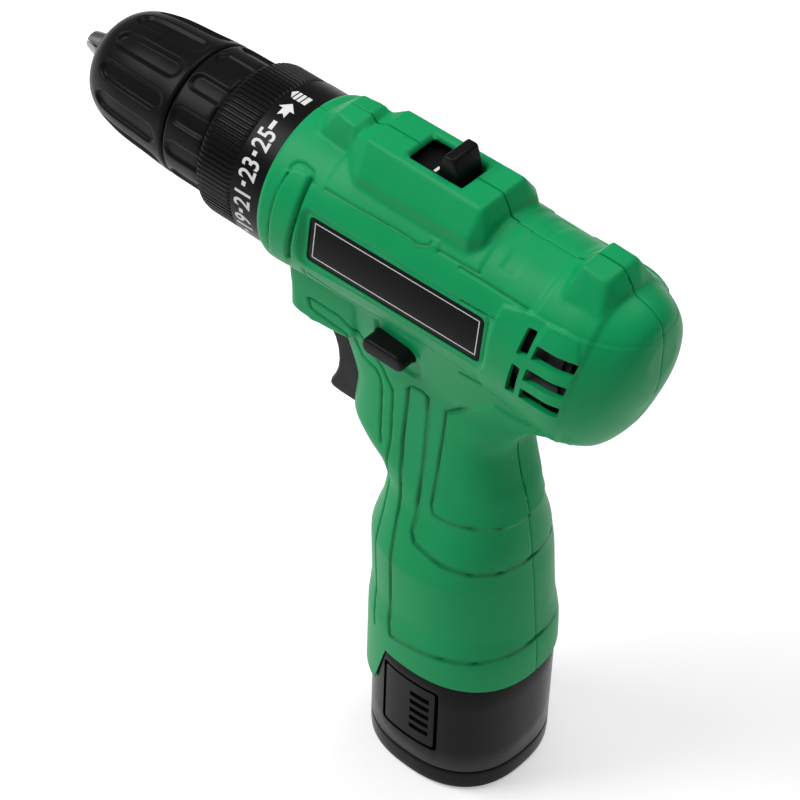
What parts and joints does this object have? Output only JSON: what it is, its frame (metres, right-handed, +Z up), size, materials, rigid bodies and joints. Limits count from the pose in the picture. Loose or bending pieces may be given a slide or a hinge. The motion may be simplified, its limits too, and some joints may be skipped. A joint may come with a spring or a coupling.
{
  "type": "cordless drill",
  "caption": "Pistol-grip cordless drill with keyless three-jaw chuck, torque ring, speed selector, trigger and a stick battery whose foot is the base.",
  "frame": {"origin": "centre of the underside of the battery foot, on the surface the drill stands on", "axes": "+Z up through the grip; the chuck points along -X, so the rear cap is towards +X; -Y is the left side of the drill and the seam is the plane y = 0"},
  "size_m": [0.1873, 0.046, 0.2032],
  "materials": {
    "shell": "satin moulded plastic, green",
    "trim": "glossy black plastic",
    "black_parts": "fine matt black plastic",
    "inner_plastic": "plain moulded plastic",
    "gear_steel": "machined steel, oiled",
    "jaw_steel": "ground and hardened steel",
    "chuck_metal": "turned",
    "carrier_metal": "machined",
    "case_metal": "die cast",
    "screw_steel": "blackened steel",
    "magnet": "ferrite",
    "brush_carbon": "carbon",
    "winding": "lacquered copper wire",
    "brass": "machined",
    "cell": "sleeved steel can",
    "board": "circuit board"
  },
  "bodies": {
    "housing": {"housing_left": "shell", "housing_right": "shell", "housing_screws": "screw_steel", "badges": "trim", "gear_case": "case_metal", "gearbox_cover": "inner_plastic", "motor_screws": "screw_steel", "spindle_bearing": "gear_steel", "clutch_ring_gear": "gear_steel", "clutch_balls": "gear_steel", "pressure_plate": "gear_steel", "clutch_springs": "gear_steel", "motor_can": "gear_steel", "motor_endbell": "inner_plastic", "motor_magnets": "magnet", "motor_brushes": "brush_carbon", "switch_body": "black_parts", "trigger_spring": "gear_steel", "terminal_block": "black_parts"},
    "rotor": {"rotor_shaft": "gear_steel", "armature": "winding", "cooling_fan": "inner_plastic", "pinion": "brass"},
    "stage_1": {"carrier_1": "carrier_metal"},
    "stage_2": {"carrier_2": "carrier_metal"},
    "output": {"carrier_3": "carrier_metal", "spindle": "gear_steel", "chuck_body": "chuck_metal", "chuck_screw": "screw_steel", "rear_sleeve": "trim"},
    "planet_1a": {"planet_1a": "carrier_metal"},
    "planet_1b": {"planet_1b": "carrier_metal"},
    "planet_1c": {"planet_1c": "carrier_metal"},
    "planet_2a": {"planet_2a": "carrier_metal"},
    "planet_2b": {"planet_2b": "carrier_metal"},
    "planet_2c": {"planet_2c": "carrier_metal"},
    "planet_3a": {"planet_3a": "carrier_metal"},
    "planet_3b": {"planet_3b": "carrier_metal"},
    "planet_3c": {"planet_3c": "carrier_metal"},
    "chuck_sleeve": {"front_sleeve": "trim", "jaw_nut": "brass"},
    "jaw_1": {"jaw_1": "jaw_steel"},
    "jaw_2": {"jaw_2": "jaw_steel"},
    "jaw_3": {"jaw_3": "jaw_steel"},
    "torque_ring": {"torque_ring": "trim"},
    "clutch_nut": {"clutch_nut": "inner_plastic"},
    "trigger": {"trigger": "black_parts"},
    "direction_button": {"direction_button": "black_parts"},
    "selector": {"speed_selector": "trim", "shift_wire": "gear_steel", "shift_ring": "gear_steel"},
    "battery": {"battery_case": "black_parts", "battery_base": "black_parts", "battery_cells": "cell", "battery_board": "board", "battery_terminals": "brass", "battery_screws": "screw_steel", "latch_springs": "gear_steel"},
    "latch_left": {"latch_left": "black_parts"},
    "latch_right": {"latch_right": "black_parts"}
  },
  "joints": [
    {"name": "motor_spin", "type": "hinge", "parent": "housing", "child": "rotor", "pos_m": [0, 0, 0.168], "axis": [1, 0, 0], "continuous": true},
    {"name": "stage_1_spin", "type": "hinge", "parent": "housing", "child": "stage_1", "pos_m": [0, 0, 0.168], "axis": [1, 0, 0], "continuous": true},
    {"name": "stage_2_spin", "type": "hinge", "parent": "housing", "child": "stage_2", "pos_m": [0, 0, 0.168], "axis": [1, 0, 0], "continuous": true},
    {"name": "output_spin", "type": "hinge", "parent": "housing", "child": "output", "pos_m": [0, 0, 0.168], "axis": [1, 0, 0], "continuous": true},
    {"name": "planet_1a_spin", "type": "hinge", "parent": "stage_1", "child": "planet_1a", "pos_m": [0, 0, 0.1581], "axis": [1, 0, 0], "continuous": true},
    {"name": "planet_1b_spin", "type": "hinge", "parent": "stage_1", "child": "planet_1b", "pos_m": [0, 0.00857, 0.17295], "axis": [1, 0, 0], "continuous": true},
    {"name": "planet_1c_spin", "type": "hinge", "parent": "stage_1", "child": "planet_1c", "pos_m": [0, -0.00857, 0.17295], "axis": [1, 0, 0], "continuous": true},
    {"name": "planet_2a_spin", "type": "hinge", "parent": "stage_2", "child": "planet_2a", "pos_m": [0, 0, 0.1581], "axis": [1, 0, 0], "continuous": true},
    {"name": "planet_2b_spin", "type": "hinge", "parent": "stage_2", "child": "planet_2b", "pos_m": [0, 0.00857, 0.17295], "axis": [1, 0, 0], "continuous": true},
    {"name": "planet_2c_spin", "type": "hinge", "parent": "stage_2", "child": "planet_2c", "pos_m": [0, -0.00857, 0.17295], "axis": [1, 0, 0], "continuous": true},
    {"name": "planet_3a_spin", "type": "hinge", "parent": "output", "child": "planet_3a", "pos_m": [0, 0, 0.1581], "axis": [1, 0, 0], "continuous": true},
    {"name": "planet_3b_spin", "type": "hinge", "parent": "output", "child": "planet_3b", "pos_m": [0, 0.00857, 0.17295], "axis": [1, 0, 0], "continuous": true},
    {"name": "planet_3c_spin", "type": "hinge", "parent": "output", "child": "planet_3c", "pos_m": [0, -0.00857, 0.17295], "axis": [1, 0, 0], "continuous": true},
    {"name": "chuck_sleeve_turn", "type": "hinge", "parent": "output", "child": "chuck_sleeve", "pos_m": [0, 0, 0.168], "axis": [1, 0, 0], "range_deg": [0, 3720]},
    {"name": "jaw_1_slide", "type": "slide", "parent": "output", "child": "jaw_1", "axis": [0.9613, 0, 0.2756], "range_m": [0, 0.0156]},
    {"name": "jaw_2_slide", "type": "slide", "parent": "output", "child": "jaw_2", "axis": [0.9613, -0.2387, -0.1378], "range_m": [0, 0.0156]},
    {"name": "jaw_3_slide", "type": "slide", "parent": "output", "child": "jaw_3", "axis": [0.9613, 0.2387, -0.1378], "range_m": [0, 0.0156]},
    {"name": "torque_ring_turn", "type": "hinge", "parent": "housing", "child": "torque_ring", "pos_m": [0, 0, 0.168], "axis": [-1, 0, 0], "range_deg": [0, 303]},
    {"name": "clutch_nut_slide", "type": "slide", "parent": "torque_ring", "child": "clutch_nut", "axis": [-1, 0, 0], "range_m": [0, 0.0036], "deforming": ["clutch_springs"]},
    {"name": "trigger_pull", "type": "slide", "parent": "housing", "child": "trigger", "axis": [1, 0, 0], "range_m": [0, 0.006], "stiffness_N_per_m": 900, "springref_m": -0.004, "deforming": ["trigger_spring"]},
    {"name": "direction_slide", "type": "slide", "parent": "housing", "child": "direction_button", "axis": [0, 1, 0], "range_m": [0, 0.005]},
    {"name": "selector_slide", "type": "slide", "parent": "housing", "child": "selector", "axis": [-1, 0, 0], "range_m": [0, 0.006]},
    {"name": "battery_slide", "type": "slide", "parent": "housing", "child": "battery", "axis": [0, 0, -1], "range_m": [0, 0.08]},
    {"name": "latch_left_press", "type": "slide", "parent": "battery", "child": "latch_left", "axis": [0, 1, 0], "range_m": [0, 0.0012], "stiffness_N_per_m": 2000, "springref_m": -0.001, "deforming": ["latch_springs"]},
    {"name": "latch_right_press", "type": "slide", "parent": "battery", "child": "latch_right", "axis": [0, -1, 0], "range_m": [0, 0.0012], "stiffness_N_per_m": 2000, "springref_m": -0.001}
  ],
  "couplings": [
    {"joint": "stage_1_spin", "follows": "motor_spin", "ratio": 0.27273},
    {"joint": "stage_2_spin", "follows": "motor_spin", "ratio": 0.07438},
    {"joint": "output_spin", "follows": "motor_spin", "ratio": 0.020285},
    {"joint": "planet_1a_spin", "follows": "motor_spin", "ratio": -0.87273},
    {"joint": "planet_1b_spin", "follows": "motor_spin", "ratio": -0.87273},
    {"joint": "planet_1c_spin", "follows": "motor_spin", "ratio": -0.87273},
    {"joint": "planet_2a_spin", "follows": "motor_spin", "ratio": -0.23802},
    {"joint": "planet_2b_spin", "follows": "motor_spin", "ratio": -0.23802},
    {"joint": "planet_2c_spin", "follows": "motor_spin", "ratio": -0.23802},
    {"joint": "planet_3a_spin", "follows": "motor_spin", "ratio": -0.064914},
    {"joint": "planet_3b_spin", "follows": "motor_spin", "ratio": -0.064914},
    {"joint": "planet_3c_spin", "follows": "motor_spin", "ratio": -0.064914},
    {"joint": "jaw_1_slide", "follows": "chuck_sleeve_turn", "m_per_rad": 0.00023873},
    {"joint": "jaw_2_slide", "follows": "chuck_sleeve_turn", "m_per_rad": 0.00023873},
    {"joint": "jaw_3_slide", "follows": "chuck_sleeve_turn", "m_per_rad": 0.00023873},
    {"joint": "clutch_nut_slide", "follows": "torque_ring_turn", "m_per_rad": 0.00068}
  ]
}
